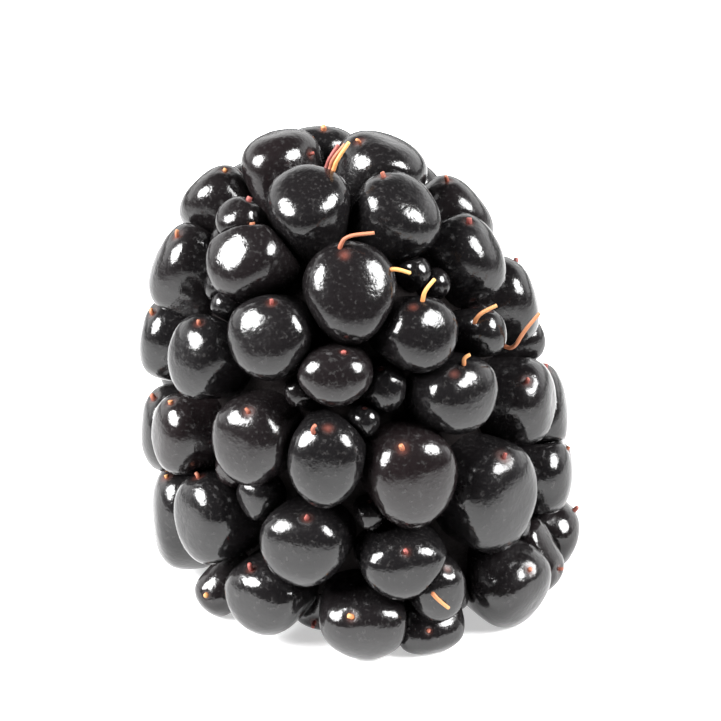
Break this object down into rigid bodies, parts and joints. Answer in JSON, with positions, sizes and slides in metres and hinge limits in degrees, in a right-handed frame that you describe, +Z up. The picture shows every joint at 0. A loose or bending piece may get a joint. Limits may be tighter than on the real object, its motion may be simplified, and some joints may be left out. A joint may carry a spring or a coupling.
{
  "type": "bramble berry",
  "caption": "Ripe black bramble berry, picked without its stem: glossy juicy drupelets grown together round a pale core, standing on its stem end.",
  "frame": {"origin": "middle of the berry's outline, on the surface that it stands on", "axes": "+Z up from the stem end to the crown, -Y towards the near side, +X to its right"},
  "size_m": [0.0228, 0.0222, 0.024],
  "materials": {
    "berry_skin": "gloss"
  },
  "bodies": {
    "root": {"berry": "berry_skin"}
  },
  "joints": []
}
